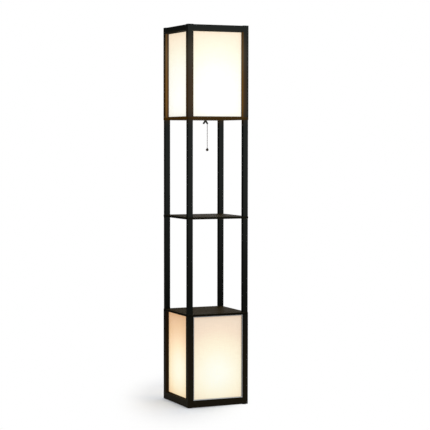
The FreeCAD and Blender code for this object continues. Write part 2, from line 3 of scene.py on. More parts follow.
import bmesh
import bpy
import numpy as np
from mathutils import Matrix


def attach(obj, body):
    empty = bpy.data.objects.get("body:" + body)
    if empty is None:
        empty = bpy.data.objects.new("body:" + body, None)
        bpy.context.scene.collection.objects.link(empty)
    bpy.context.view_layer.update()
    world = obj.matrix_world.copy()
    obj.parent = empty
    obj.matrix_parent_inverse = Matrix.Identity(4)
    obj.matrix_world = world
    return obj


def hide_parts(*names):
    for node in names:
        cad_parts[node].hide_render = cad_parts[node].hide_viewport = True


# A square black floor lamp: lit shade boxes at the top and the bottom, two open shelf bays between.
# Metres, Z up, front along -Y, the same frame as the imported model.

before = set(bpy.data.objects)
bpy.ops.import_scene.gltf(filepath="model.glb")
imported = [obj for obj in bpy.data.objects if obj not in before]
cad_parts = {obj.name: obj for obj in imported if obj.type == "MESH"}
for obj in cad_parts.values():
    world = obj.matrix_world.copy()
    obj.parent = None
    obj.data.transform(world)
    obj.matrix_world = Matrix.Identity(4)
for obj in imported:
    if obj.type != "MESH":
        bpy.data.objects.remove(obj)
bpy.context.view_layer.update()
print("frame loaded:", len(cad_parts), "nodes")

mm = 0.001

cameraSettings = {
    "place": (-2.5202, -5.8473, 1.0896),
    "headingDegrees": 23.670,   # clockwise from straight at the front, seen from above
    "downDegrees": 2.8225,
    "rollDegrees": -0.0594,
    "lens": 129.11,
    "sensor": 36.0,
}


def placeCamera(look):
    # Tipped down from the level, then rolled, then turned clockwise by its heading
    data = bpy.data.cameras.new("photoCamera")
    data.lens = look["lens"]
    data.sensor_width = look["sensor"]
    data.sensor_fit = "HORIZONTAL"
    data.clip_end = 100.0
    camera = bpy.data.objects.new("photoCamera", data)
    camera.location = look["place"]
    camera.rotation_euler = (math.radians(90 - look["downDegrees"]), math.radians(look["rollDegrees"]),
                             math.radians(-look["headingDegrees"]))
    bpy.context.collection.objects.link(camera)
    bpy.context.scene.camera = camera


placeCamera(cameraSettings)
bpy.context.scene.view_settings.view_transform = "Standard"
print("camera placed")


def gridFaces(rows, columns, wrapRows=False, wrapColumns=False):
    # Quads between neighbours of a rows x columns grid of vertices, joined round where it wraps
    i, j = np.meshgrid(np.arange(rows if wrapRows else rows - 1),
                       np.arange(columns if wrapColumns else columns - 1), indexing="ij")
    ahead, across = (i + 1) % rows, (j + 1) % columns
    corners = [i * columns + j, i * columns + across, ahead * columns + across, ahead * columns + j]
    return np.stack(corners, -1).reshape(-1, 4)


def meshPiece(name, points, faces, sharpDegrees=35.0, closed=True, uv=None):
    # A piece from arrays of points and faces; a closed one is merged at its poles and faces outwards
    mesh = bpy.data.meshes.new(name)
    mesh.from_pydata(np.asarray(points, float).reshape(-1, 3), [], faces)
    if uv is not None:
        layer = mesh.uv_layers.new(name="cloth")
        corner = np.empty(len(mesh.loops), int)
        mesh.loops.foreach_get("vertex_index", corner)
        layer.data.foreach_set("uv", np.asarray(uv, float).reshape(-1, 2)[corner].ravel())
    if closed:
        shell = bmesh.new()
        shell.from_mesh(mesh)
        bmesh.ops.remove_doubles(shell, verts=shell.verts, dist=1e-7)
        bmesh.ops.recalc_face_normals(shell, faces=shell.faces)
        shell.to_mesh(mesh)
        shell.free()
    mesh.shade_smooth()
    mesh.set_sharp_from_angle(angle=math.radians(sharpDegrees))
    piece = bpy.data.objects.new(name, mesh)
    bpy.context.collection.objects.link(piece)
    return piece


def turnedGrid(profile, segments):
    # Lathe: the profile's point (r, z) at angle a goes to (r cos a, r sin a, z)
    a = np.linspace(0, 2 * np.pi, segments, endpoint=False)
    r, z = np.asarray(profile, float).T
    return np.stack([np.outer(r, np.cos(a)), np.outer(r, np.sin(a)), np.outer(z, np.ones(segments))], -1)


def arc(centre, radius, startDegrees, endDegrees, count):
    # Part of a circle: (x + radius cos a, y + radius sin a)
    a = np.radians(np.linspace(startDegrees, endDegrees, count))
    return np.c_[centre[0] + radius * np.cos(a), centre[1] + radius * np.sin(a)]


def repeated(unit, faces, centres):
    # The same small mesh at every centre
    unit = unit.reshape(-1, 3)
    points = unit[None] + np.asarray(centres)[:, None]
    step = np.arange(len(centres))[:, None, None] * len(unit)
    return points.reshape(-1, 3), (faces[None] + step).reshape(-1, faces.shape[1])


def newNode(tree, kind, inputs=None, **settings):
    node = tree.nodes.new("ShaderNode" + kind)
    for name, value in settings.items():
        setattr(node, name, value)
    for name, value in (inputs or {}).items():
        if isinstance(value, bpy.types.NodeSocket):
            tree.links.new(value, node.inputs[name])
        else:
            node.inputs[name].default_value = value
    return node


def calc(tree, operation, *values, clamp=False):
    return newNode(tree, "Math", dict(enumerate(values)), operation=operation, use_clamp=clamp).outputs[0]


def vectorCalc(tree, operation, *values, result="Vector"):
    return newNode(tree, "VectorMath", dict(enumerate(values)), operation=operation).outputs[result]


def blendColours(tree, factor, a, b, mode="MIX"):
    node = newNode(tree, "Mix", {0: factor, 6: a, 7: b}, data_type="RGBA", blend_type=mode)
    return node.outputs[2]


def rampColour(tree, value, stops):
    node = newNode(tree, "ValToRGB", {0: value})
    while len(node.color_ramp.elements) < len(stops):
        node.color_ramp.elements.new(0.5)
    for element, (place, colour) in zip(node.color_ramp.elements, stops):
        element.position = place
        element.color = (*colour, 1)
    return node.outputs[0]


def smoothBetween(tree, value, low, high, toLow=0.0, toHigh=1.0):
    node = newNode(tree, "MapRange", {0: value, 1: low, 2: high, 3: toLow, 4: toHigh},
                   interpolation_type="SMOOTHSTEP")
    return node.outputs[0]


def objectPlace(tree):
    return newNode(tree, "TexCoord").outputs["Object"]


def stretchedNoise(tree, place, scale, detail=3.0, roughness=0.55):
    vector = newNode(tree, "Mapping", {"Vector": place, "Scale": scale}).outputs[0]
    return newNode(tree, "TexNoise", {"Vector": vector, "Scale": 1.0, "Detail": detail,
                                      "Roughness": roughness}).outputs[0]


def startMaterial(name, **shaderValues):
    material = bpy.data.materials.new(name)
    material.use_nodes = True
    tree = material.node_tree
    shader = tree.nodes["Principled BSDF"]
    for socket, value in shaderValues.items():
        shader.inputs[socket.replace("_", " ")].default_value = value
    return material, tree, shader


noiseSpan = (0.3, 0.7)          # most of a noise's values lie between these


def spreadNoise(tree, noise, low, high):
    return newNode(tree, "MapRange", {0: noise, 1: noiseSpan[0], 2: noiseSpan[1], 3: low, 4: high}).outputs[0]


def greyOf(tree, value):
    return newNode(tree, "CombineColor", {0: value, 1: value, 2: value}).outputs[0]


def seenDirectly(tree):
    # 1 for what the camera, a gloss or a clear piece sees, 0 for the light that falls on the lamp
    path = newNode(tree, "LightPath").outputs
    return calc(tree, "MAXIMUM", calc(tree, "MAXIMUM", path["Is Camera Ray"], path["Is Glossy Ray"]),
                path["Is Transmission Ray"])


def bumpInto(tree, shader, height, distance, strength=1.0):
    node = newNode(tree, "Bump", {"Height": height, "Distance": distance, "Strength": strength})
    tree.links.new(node.outputs[0], shader.inputs["Normal"])


# Painted light on the timber, given out as emission: the lit shades' glow in the reveals, at the sheet and at the
# outer edge
lampGlow = {
    "upper": {"middle": 1.350, "reach": 0.1735, "atSheet": (0.030, 0.001, 0.0), "atEdge": (0.195, 0.088, 0.003)},
    "lower": {"middle": 0.200, "reach": 0.1735, "atSheet": (0.008, 0.002, 0.0), "atEdge": (0.009, 0.003, 0.0)},
    "sheetAt": 0.1195,
    "edgeAt": 0.1335,
    "climb": 0.45,              # how much the height counts in the way to the box's middle
    # painted glare haze beside the upper shades: amber low down and paler near the top
    "amber": (0.046, 0.019, 0.001), "pale": (0.040, 0.026, 0.013), "paleFrom": (1.300, 1.430),
    "hazeRise": (1.130, 1.240), "hazeFall": (1.430, 1.545), "shadeEdge": 0.1095,
    # its share at the corners: the front left one, then the others, by x + y
    "atCorner": (0.55, 0.0), "cornerSpan": (-0.24, -0.06),
    # painted light: a faint veil that grows with height, weaker on the sides than on front and back, and a warm one
    # low down
    "veil": (0.0118, 0.0136, 0.0130), "veilRise": (0.300, 1.060), "veilOnSides": 0.15, "sideToFront": (0.2, 0.8),
    "warm": (0.0055, 0.0030, 0.0006), "warmFall": (0.200, 0.400),
}


def glowColour(tree, look):
    # Painted light, given out as emission. Reveals: the cosine between a face's normal and the way to the box's
    # middle, times the colour there.
    # Haze: painted glare that fades with height and from the shade's edge to the corner. Both are added up.
    place = objectPlace(tree)
    normal = newNode(tree, "NewGeometry").outputs["Normal"]
    x, y, z = newNode(tree, "SeparateXYZ", {0: place}).outputs
    farX, farY = calc(tree, "ABSOLUTE", x), calc(tree, "ABSOLUTE", y)
    outwards = smoothBetween(tree, calc(tree, "MAXIMUM", farX, farY), look["sheetAt"], look["edgeAt"])
    total = None
    for box in (look["upper"], look["lower"]):
        up = calc(tree, "MULTIPLY", calc(tree, "SUBTRACT", box["middle"], z), look["climb"])
        inward = newNode(tree, "CombineXYZ", {0: calc(tree, "MULTIPLY", x, -1.0),
                                              1: calc(tree, "MULTIPLY", y, -1.0), 2: up}).outputs[0]
        facing = vectorCalc(tree, "DOT_PRODUCT", normal, vectorCalc(tree, "NORMALIZE", inward), result="Value")
        height = calc(tree, "ABSOLUTE", calc(tree, "SUBTRACT", z, box["middle"]))
        amount = calc(tree, "MULTIPLY", calc(tree, "MAXIMUM", facing, 0.0),
                      calc(tree, "LESS_THAN", height, box["reach"]))
        colour = blendColours(tree, outwards, (*box["atSheet"], 1), (*box["atEdge"], 1))
        lit = blendColours(tree, amount, (0, 0, 0, 1), colour)
        total = lit if total is None else blendColours(tree, 1.0, total, lit, "ADD")
    haze = calc(tree, "MULTIPLY", smoothBetween(tree, z, *look["hazeRise"]),
                smoothBetween(tree, z, *look["hazeFall"], 1.0, 0.0))
    atCorner = smoothBetween(tree, calc(tree, "ADD", x, y), *look["cornerSpan"], *look["atCorner"])
    beside = newNode(tree, "MapRange", {0: calc(tree, "MINIMUM", farX, farY), 1: look["shadeEdge"],
                                        2: look["edgeAt"], 3: 1.0, 4: atCorner}).outputs[0]
    hazeHue = blendColours(tree, smoothBetween(tree, z, *look["paleFrom"]), (*look["amber"], 1), (*look["pale"], 1))
    total = blendColours(tree, calc(tree, "MULTIPLY", haze, beside), total, hazeHue, "ADD")
    # painted light: a veil, brighter higher up and on front and back faces, and a warm glow low down
    ahead = calc(tree, "ABSOLUTE", newNode(tree, "SeparateXYZ", {0: normal}).outputs[1])
    veil = calc(tree, "MULTIPLY", smoothBetween(tree, z, *look["veilRise"]),
                smoothBetween(tree, ahead, *look["sideToFront"], look["veilOnSides"], 1.0))
    total = blendColours(tree, veil, total, (*look["veil"], 1), "ADD")
    return blendColours(tree, smoothBetween(tree, z, *look["warmFall"], 1.0, 0.0), total, (*look["warm"], 1), "ADD")


lacquer = {
    "black": (0.0042, 0.0047, 0.0036),
    "grain": (0.0088, 0.0090, 0.0072),
    "rubbed": (0.024, 0.024, 0.022),
    "grainScale": {"X": (26, 620, 620), "Y": (620, 26, 620), "Z": (620, 620, 26)},
    "broadGrain": 0.16,         # scale of the broad grain, as a share of the fine one's
    "streaks": (0.42, 0.72), "bands": (0.30, 0.70),
    "edgeFlatness": (0.98, 0.80), "rubbedScale": 70, "rubbedPatches": (0.45, 0.70), "rubbedMost": 0.7,
    "mottleScale": 9, "mottleShare": 0.6,
    "roughness": (0.42, 0.60),
    "specular": 0.015,
    "tint": (1.0, 1.0, 1.0, 1.0),
    "grainDepth": 0.00010, "broadDepth": 0.5,
}


def timberMaterial(name, axis, look, glow):
    # Grain shows where a fine and a broad noise, both drawn out along the timber, are high together
    material, tree, shader = startMaterial(name, Specular_IOR_Level=look["specular"], Specular_Tint=look["tint"])
    place = objectPlace(tree)
    fine = stretchedNoise(tree, place, look["grainScale"][axis], 4.0, 0.6)
    broad = stretchedNoise(tree, place, tuple(s * look["broadGrain"] for s in look["grainScale"][axis]), 3.0, 0.5)
    mottle = stretchedNoise(tree, place, (look["mottleScale"],) * 3, 2.0, 0.5)
    streak = calc(tree, "MULTIPLY", smoothBetween(tree, fine, *look["streaks"]),
                  smoothBetween(tree, broad, *look["bands"]))
    colour = blendColours(tree, streak, (*look["black"], 1), (*look["grain"], 1))
    # Eased edges are rubbed a little lighter: there no part of the normal is near 1
    nx, ny, nz = newNode(tree, "SeparateXYZ", {0: vectorCalc(
        tree, "ABSOLUTE", newNode(tree, "NewGeometry").outputs["Normal"])}).outputs
    flatness = calc(tree, "MAXIMUM", calc(tree, "MAXIMUM", nx, ny), nz)
    onEdge = smoothBetween(tree, flatness, *look["edgeFlatness"])
    patches = smoothBetween(tree, stretchedNoise(tree, place, (look["rubbedScale"],) * 3), *look["rubbedPatches"])
    rubbing = calc(tree, "MULTIPLY", calc(tree, "MULTIPLY", onEdge, patches), look["rubbedMost"])
    colour = blendColours(tree, rubbing, colour, (*look["rubbed"], 1))
    if "sheenColour" in look:
        # Painted sheen: a board's top faces are browner and lighter, standing in for the warm reflection on them
        upwards = newNode(tree, "SeparateXYZ", {0: newNode(tree, "NewGeometry").outputs["Normal"]}).outputs[2]
        through = calc(tree, "MULTIPLY", smoothBetween(tree, upwards, *look["topFaces"]),
                       calc(tree, "MULTIPLY_ADD", broad, *look["sheenBands"]))
        colour = blendColours(tree, through, colour, (*look["sheenColour"], 1), "ADD")
    tree.links.new(colour, shader.inputs["Base Color"])
    uneven = calc(tree, "ADD", calc(tree, "MULTIPLY", mottle, look["mottleShare"]),
                  calc(tree, "MULTIPLY", fine, 1 - look["mottleShare"]))
    tree.links.new(spreadNoise(tree, uneven, *look["roughness"]), shader.inputs["Roughness"])
    bumpInto(tree, shader, calc(tree, "ADD", fine, calc(tree, "MULTIPLY", broad, look["broadDepth"])),
             look["grainDepth"])
    # Painted light: the shades' glow, glare haze and veil, given out by the timber as emission
    tree.links.new(glowColour(tree, glow), shader.inputs["Emission Color"])
    shader.inputs["Emission Strength"].default_value = 1.0
    return material


# the boards' lacquer, with a painted sheen on their top faces
boardLacquer = dict(lacquer, black=(0.0042, 0.0040, 0.0028), grain=(0.0090, 0.0080, 0.0055),
                    sheenColour=(0.026, 0.017, 0.0055), topFaces=(0.6, 0.95), sheenBands=(0.8, 0.6),
                    grainScale={"X": (20, 480, 480)}, specular=0.012, tint=(1.0, 0.75, 0.50, 1.0))
# the upper box's light falls on the rim of its floor board
boardGlow = dict(lampGlow, amber=(0.110, 0.045, 0.0), veil=(0.0045, 0.0045, 0.0025), atCorner=(0.40, 0.40))

shadeCloth = {
    "cloth": (0.45, 0.44, 0.42),
    "threadsPerMetre": 900.0,
    "threadShade": 0.06,
    "slubShade": 0.07, "slubsAlong": 22, "slubsAcross": 700,
    "cloudShade": 0.04, "cloudScale": 14,
    "weaveDepth": 0.00012, "weaveBump": 0.6,
    "roughness": 0.88, "specular": 0.2,
    "bulbToSheet": 0.1185,
    # nearness stops: the fixed lower sheets, the lift-off panel's sheet, painted whiter for the stronger light on the
    # front, the upper sheets
    "lower": {"bulb": (0, 0, 0.134), "stops": [
        (0.20, (0.48, 0.21, 0.025)), (0.29, (0.59, 0.31, 0.08)), (0.40, (0.69, 0.42, 0.18)),
        (0.55, (0.73, 0.55, 0.285)), (0.74, (0.73, 0.635, 0.405)), (0.96, (0.73, 0.71, 0.51))]},
    "panel": {"bulb": (0, 0, 0.134), "stops": [
        (0.20, (0.50, 0.35, 0.215)), (0.28, (0.57, 0.405, 0.25)), (0.38, (0.62, 0.50, 0.31)),
        (0.51, (0.645, 0.57, 0.375)), (0.68, (0.65, 0.62, 0.455)), (0.87, (0.65, 0.66, 0.55))]},
    "upper": {"bulb": (0, 0, 1.250), "stops": [
        (0.17, (0.71, 0.57, 0.39)), (0.26, (0.72, 0.67, 0.50)), (0.303, (0.72, 0.69, 0.535)),
        (0.45, (0.73, 0.72, 0.635)), (0.56, (0.73, 0.725, 0.65)), (0.71, (0.735, 0.735, 0.68)),
        (0.94, (0.76, 0.76, 0.72))]},
}


def shadeMaterial(name, look, box):
    # Brightness follows t = D^2 / d^2, with D from bulb to sheet and d from bulb to the point
    material, tree, shader = startMaterial(name, Roughness=look["roughness"],
                                           Specular_IOR_Level=look["specular"])
    lit = look[box]
    distance = vectorCalc(tree, "DISTANCE", objectPlace(tree), lit["bulb"], result="Value")
    near = calc(tree, "DIVIDE", look["bulbToSheet"] ** 2, calc(tree, "MULTIPLY", distance, distance))
    cloth = newNode(tree, "UVMap", uv_map="cloth").outputs[0]
    u, v, _ = newNode(tree, "SeparateXYZ", {0: cloth}).outputs
    turn = math.pi * look["threadsPerMetre"]
    over = calc(tree, "MULTIPLY", calc(tree, "SINE", calc(tree, "MULTIPLY", u, turn)),
                calc(tree, "SINE", calc(tree, "MULTIPLY", v, turn)))
    weave = calc(tree, "MULTIPLY_ADD", over, 0.5, 0.5)
    warpSlub = stretchedNoise(tree, cloth, (look["slubsAcross"], look["slubsAlong"], 1), 2.0, 0.6)
    weftSlub = stretchedNoise(tree, cloth, (look["slubsAlong"], look["slubsAcross"], 1), 2.0, 0.6)
    slub = calc(tree, "ADD", warpSlub, weftSlub)
    cloud = stretchedNoise(tree, cloth, (look["cloudScale"], look["cloudScale"], 1), 2.0, 0.5)
    shade = calc(tree, "SUBTRACT", 1.0, calc(tree, "MULTIPLY", weave, look["threadShade"]))
    uneven = calc(tree, "MULTIPLY", calc(tree, "SUBTRACT", slub, 1.0), look["slubShade"] * 2)
    shade = calc(tree, "SUBTRACT", shade, uneven)
    shade = calc(tree, "ADD", shade, calc(tree, "MULTIPLY", calc(tree, "SUBTRACT", cloud, 0.5), look["cloudShade"]))
    grey = greyOf(tree, shade)
    tree.links.new(blendColours(tree, 1.0, (*look["cloth"], 1), grey, "MULTIPLY"), shader.inputs["Base Color"])
    glow = blendColours(tree, 1.0, rampColour(tree, near, lit["stops"]), grey, "MULTIPLY")
    tree.links.new(glow, shader.inputs["Emission Color"])
    shader.inputs["Emission Strength"].default_value = 1.0
    bumpInto(tree, shader, calc(tree, "ADD", weave, slub), look["weaveDepth"], look["weaveBump"])
    return material


speckle = {"broadScale": 0.12, "broadShare": 0.6, "span": (0.35, 0.65), "bump": 0.00005, "bumpStrength": 0.5}


def speckledMaterial(name, look):
    # Two close shades and two roughnesses mixed by noise, with a fine bump
    material, tree, shader = startMaterial(name, Metallic=look.get("metallic", 0.0),
                                           Specular_IOR_Level=look.get("specular", 0.5))
    place = objectPlace(tree)
    scale = np.array(look.get("stretch", (1, 1, 1))) * look["scale"]
    fine = stretchedNoise(tree, place, scale.tolist(), 4.0, 0.6)
    broad = stretchedNoise(tree, place, (scale * speckle["broadScale"]).tolist(), 2.0, 0.5)
    fineShare = calc(tree, "MULTIPLY", fine, 1 - speckle["broadShare"])
    mixed = smoothBetween(tree, calc(tree, "MULTIPLY_ADD", broad, speckle["broadShare"], fineShare), *speckle["span"])
    colour = blendColours(tree, mixed, (*look["dark"], 1), (*look["light"], 1))
    if "footHighlight" in look:
        # Painted highlight: the rim is paler at its foot, where it catches light
        footHighlight = look["footHighlight"]
        height = newNode(tree, "SeparateXYZ", {0: place}).outputs[2]
        colour = blendColours(tree, smoothBetween(tree, height, footHighlight["below"], footHighlight["above"], 1.0, 0.0), colour,
                              (*footHighlight["colour"], 1))
    tree.links.new(colour, shader.inputs["Base Color"])
    tree.links.new(spreadNoise(tree, fine, *look["roughness"]), shader.inputs["Roughness"])
    bumpInto(tree, shader, fine, look.get("bump", speckle["bump"]), speckle["bumpStrength"])
    if "glow" in look:
        # painted light: the lit shades' glow on a dark piece, given out as emission
        tree.links.new(glowColour(tree, look["glow"]), shader.inputs["Emission Color"])
        shader.inputs["Emission Strength"].default_value = 1.0
    if "emission" in look:
        # the bulb's glow, a little uneven
        grey = greyOf(tree, smoothBetween(tree, broad, 0.2, 0.8, look["unevenGlow"], 1.0))
        lit = blendColours(tree, 1.0, (*look["emission"], 1), grey, "MULTIPLY")
        tree.links.new(lit, shader.inputs["Emission Color"])
        shader.inputs["Emission Strength"].default_value = look["emissionStrength"]
    return material


speckled = {
    # the rim's foot has a painted highlight
    "rim": {"dark": (0.22, 0.225, 0.23), "light": (0.29, 0.295, 0.30), "roughness": (0.38, 0.52), "scale": 1400,
            "bump": 0.00003, "metallic": 0.35, "stretch": (1, 1, 0.04),
            "footHighlight": {"colour": (0.52, 0.54, 0.55), "above": 0.0345, "below": 0.0325}},
    "strip": {"dark": (0.006, 0.0055, 0.004), "light": (0.010, 0.009, 0.007), "roughness": (0.45, 0.60), "scale": 900,
              "specular": 0.10, "glow": lampGlow},
    "plastic": {"dark": (0.0050, 0.0045, 0.0040), "light": (0.009, 0.008, 0.007), "roughness": (0.34, 0.48),
                "scale": 900, "bump": 0.00006, "specular": 0.15},
    "brass": {"dark": (0.55, 0.38, 0.15), "light": (0.72, 0.52, 0.24), "roughness": (0.22, 0.40), "scale": 500,
              "metallic": 1.0},
    "bulb": {"dark": (0.85, 0.82, 0.76), "light": (0.90, 0.88, 0.83), "roughness": (0.45, 0.55), "scale": 300,
             "bump": 0.00002, "emission": (1.0, 0.86, 0.62), "emissionStrength": 1.6, "unevenGlow": 0.92},
    "cap": {"dark": (0.62, 0.62, 0.60), "light": (0.74, 0.74, 0.72), "roughness": (0.25, 0.42), "scale": 700,
            "metallic": 1.0},
    "chain": {"dark": (0.040, 0.019, 0.011), "light": (0.105, 0.055, 0.032), "roughness": (0.26, 0.40), "scale": 1500,
              "metallic": 1.0},
    "ball": {"dark": (0.020, 0.017, 0.013), "light": (0.075, 0.060, 0.042), "roughness": (0.20, 0.34), "scale": 420,
             "bump": 0.00006, "metallic": 1.0},
    "nut": {"dark": (0.10, 0.10, 0.085), "light": (0.16, 0.155, 0.13), "roughness": (0.38, 0.55), "scale": 900,
            "metallic": 1.0},
    "steel": {"dark": (0.36, 0.36, 0.35), "light": (0.48, 0.48, 0.47), "roughness": (0.28, 0.45), "scale": 800,
              "metallic": 1.0},
    "magnet": {"dark": (0.50, 0.50, 0.51), "light": (0.62, 0.62, 0.63), "roughness": (0.18, 0.30), "scale": 700,
               "metallic": 1.0},
    "felt": {"dark": (0.012, 0.012, 0.012), "light": (0.035, 0.034, 0.032), "roughness": (0.90, 1.0), "scale": 2600,
             "bump": 0.0003, "specular": 0.1},
    "sleeve": {"dark": (0.016, 0.015, 0.014), "light": (0.026, 0.024, 0.022), "roughness": (0.35, 0.50),
               "scale": 1100, "bump": 0.00004, "specular": 0.4},
}

finishes = {
    "post": timberMaterial("blackLacquerUpright", "Z", lacquer, lampGlow),
    "railAcross": timberMaterial("blackLacquerAcross", "X", lacquer, lampGlow),
    "railDeep": timberMaterial("blackLacquerDeep", "Y", lacquer, lampGlow),
    "board": timberMaterial("blackLacquerBoard", "X", boardLacquer, boardGlow),
    "upperShade": shadeMaterial("shadeClothUpper", shadeCloth, "upper"),
    "lowerShade": shadeMaterial("shadeClothLower", shadeCloth, "lower"),
    "panelShade": shadeMaterial("shadeClothPanel", shadeCloth, "panel"),
}
finishes.update({name: speckledMaterial(name + "Finish", look) for name, look in speckled.items()})

corners = ["front_left", "front_right", "back_right", "back_left"]
finishOfNode = {"base_board": "board", "lower_shelf": "board", "middle_shelf": "board", "upper_floor": "board",
                "shade_strips": "strip", "cord_grommet": "plastic", "lower_lamp_holder": "plastic",
                "upper_lamp_holder": "plastic", "switch_housing": "plastic", "switch_drum": "plastic",
                "chain_spouts": "plastic", "hub_nut": "nut", "holder_screws": "steel", "post_studs": "steel",
                "switch_spring": "steel", "panel_magnets": "magnet", "foot_glides": "felt",
                "socket_shells": "brass", "inner_chain": "chain"}
postParts = ["lower_post", "lower_bay_post", "upper_bay_post", "upper_post"]
finishOfNode.update({f"{part}_{corner}": "post" for part in postParts for corner in corners})
finishOfNode.update({f"{part}_{side}": "railAcross" if side in ("front", "back") else "railDeep"
                     for part in ("bottom_rail", "top_rail") for side in ("front", "right", "back", "left")})

for node, finish in finishOfNode.items():
    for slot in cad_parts[node].material_slots:
        slot.material = finishes[finish]
print("materials on", len(finishOfNode), "frame nodes")


def finishPiece(piece, finish, slot, body, *nodes):
    piece.data.materials.append(finishes[finish])
    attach(piece, body)
    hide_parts(*nodes)
    return piece


def routeCurve(name, points, radius=0.0):
    # A smooth NURBS line of order 3 with the route's points as its control points
    curve = bpy.data.curves.new(name, "CURVE")
    curve.dimensions = "3D"
    curve.resolution_u = 16
    spline = curve.splines.new("NURBS")
    spline.points.add(len(points) - 1)
    spline.points.foreach_set("co", np.c_[points, np.ones(len(points))].ravel())
    spline.order_u = 3
    spline.use_endpoint_u = True
    curve.bevel_depth = radius
    curve.bevel_resolution = 4
    curve.use_fill_caps = radius > 0
    piece = bpy.data.objects.new(name, curve)
    bpy.context.collection.objects.link(piece)
    return piece


def lineOfRoute(name, points):
    # The points that the route's smooth line runs through
    holder = routeCurve(name + "Route", points)
    mesh = bpy.data.meshes.new_from_object(holder)
    line = np.empty(3 * len(mesh.vertices))
    mesh.vertices.foreach_get("co", line)
    bpy.data.objects.remove(holder)
    bpy.data.meshes.remove(mesh)
    return line.reshape(-1, 3)


def alongLine(line, distances):
    # Points at the given lengths along the line, between its own points
    steps = np.r_[0, np.cumsum(np.linalg.norm(np.diff(line, axis=0), axis=1))]
    return np.stack([np.interp(distances, steps, line[:, k]) for k in range(3)], -1)


beadChain = {
    "beadRadius": 1.6 * mm,
    "linkRadius": 0.45 * mm,
    "linkSink": 0.35 * mm,      # how far a pin reaches into its ball
    "pitch": 4.1 * mm,
    "stubAt": 1.42,             # pitches from the pivot up to the pin above the top bead
    "beads": 23,
    "route": np.array([(8, 0, 1149.0), (8, 0, 1130.0), (8, 0, 1072.0), (8, 0, 1051.7)]) * mm,
    "seamDepth": 0.05,
    "seamWidth": 0.28,
}


def beadGrid(look, rows=9, columns=14):
    # A hollow pressed ball: radius R less a shallow seam along one meridian, R(1 - s exp(-(a/w)^2))
    t = np.linspace(0, np.pi, rows)[:, None]
    a = np.linspace(-np.pi, np.pi, columns, endpoint=False)[None]
    r = look["beadRadius"] * (1 - look["seamDepth"] * np.exp(-(a / look["seamWidth"]) ** 2) * np.sin(t))
    return np.stack([r * np.sin(t) * np.cos(a), r * np.sin(t) * np.sin(a), r * np.cos(t) * np.ones_like(a)], -1)


def linkGrid(look, sides=8):
    # A short straight pin between two balls, closed at its ends
    reach = look["pitch"] / 2 - look["beadRadius"] + look["linkSink"]
    r = look["linkRadius"]
    return turnedGrid([(0, reach), (r, reach), (r, -reach), (0, -reach)], sides)


def beadString(name, centres, linkCentres, look):
    # A ball at every centre and a pin at every link centre, in one mesh
    bead, link = beadGrid(look), linkGrid(look)
    points, faces = repeated(bead, gridFaces(*bead.shape[:2], wrapColumns=True), centres)
    if len(linkCentres):
        morePoints, moreFaces = repeated(link, gridFaces(*link.shape[:2], wrapColumns=True), linkCentres)
        faces = np.r_[faces, moreFaces + len(points)]
        points = np.r_[points, morePoints]
    return meshPiece(name, points, faces, sharpDegrees=50.0)


def makeChain(look):
    # Balls every pitch down the line from its top, pins halfway between, and two more balls at the pivot and above
    line = lineOfRoute("pullChain", look["route"])
    pitch = look["pitch"]
    below = np.arange(1, look["beads"] + 1) * pitch
    links = np.r_[below - pitch / 2, below[-1] + pitch / 2]
    chain = beadString("pullChain", alongLine(line, below), alongLine(line, links), look)
    finishPiece(chain, "chain", "chain_metal", "hanging_chain", "pull_chain")
    pivot = line[0]
    knuckle = beadString("chainYokeBead", pivot[None], [], look)
    finishPiece(knuckle, "chain", "chain_metal", "chain_knuckle", "chain_yoke_bead")
    up = np.array([0, 0, pitch])
    pins = np.array([pivot + up / 2, pivot + up * look["stubAt"]])
    top = beadString("chainTopBead", (pivot + up)[None], pins, look)
    finishPiece(top, "chain", "chain_metal", "chain_head", "chain_top_bead")
    return chain, line


pullBall = {"centre": (8 * mm, 0, 1045.1 * mm), "radius": 5.8 * mm, "neckRadius": 2.1 * mm,
            "neckTop": 7.6 * mm, "shoulderDegrees": 38.0, "boreDepth": 1.0 * mm, "boreRadius": 0.5 * mm,
            "lip": 0.8 * mm, "hollow": np.array([0.22, 0.16]) * mm, "around": 56}


def makeBall(look):
    # Lathe: a sphere from the bottom up to the shoulder, a hollow sweep to the neck, a rounded lip, the bore
    radius, neck, top = look["radius"], look["neckRadius"], look["neckTop"]
    ball = arc((0, 0), radius, -90, 90 - look["shoulderDegrees"], 40)
    shoulder, lip = ball[-1], np.array([neck, top - look["lip"]])
    s = np.linspace(0, 1, 10)[1:, None]
    sweep = shoulder + (lip - shoulder) * s - look["hollow"] * np.sin(np.pi * s)
    rounded = arc((neck - look["lip"], top - look["lip"]), look["lip"], 0, 90, 8)[1:]
    bore = np.array([(look["boreRadius"], top), (look["boreRadius"], top - look["boreDepth"]),
                     (0, top - look["boreDepth"])])
    grid = turnedGrid(np.r_[ball, sweep, rounded, bore], look["around"]) + np.array(look["centre"])
    piece = meshPiece("pullBall", grid, gridFaces(*grid.shape[:2], wrapColumns=True))
    return finishPiece(piece, "ball", "ball_metal", "hanging_chain", "pull_ball")


chain, chainLine = makeChain(beadChain)
ball = makeBall(pullBall)
print("bead chain and ball made")


wires = {
    "radius": 1.4 * mm,
    "supply": np.array([(60, 131.5, 21.5), (60, 89.5, 21.5), (84, 87.5, 16.8), (103.439, 108.561, 17.8),
                        (115.439, 117.561, 57), (115.439, 117.561, 99), (115.439, 117.561, 1152),
                        (115.439, 117.561, 1182), (107.439, 110.561, 1210), (73.439, 75.561, 1182.8),
                        (12.374, 14.496, 1185.8)]) * mm,
    "lead": np.array([(11.314, 11.314, 21.9), (33.314, 30.314, 21.9), (75.561, 69.439, 16.8),
                      (108.561, 103.439, 17.8), (117.561, 115.439, 57), (117.561, 115.439, 99),
                      (117.561, 115.439, 1152), (117.561, 115.439, 1182), (110.561, 107.439, 1210),
                      (75.561, 73.439, 1182.8), (14.496, 12.374, 1185.8)]) * mm,
}


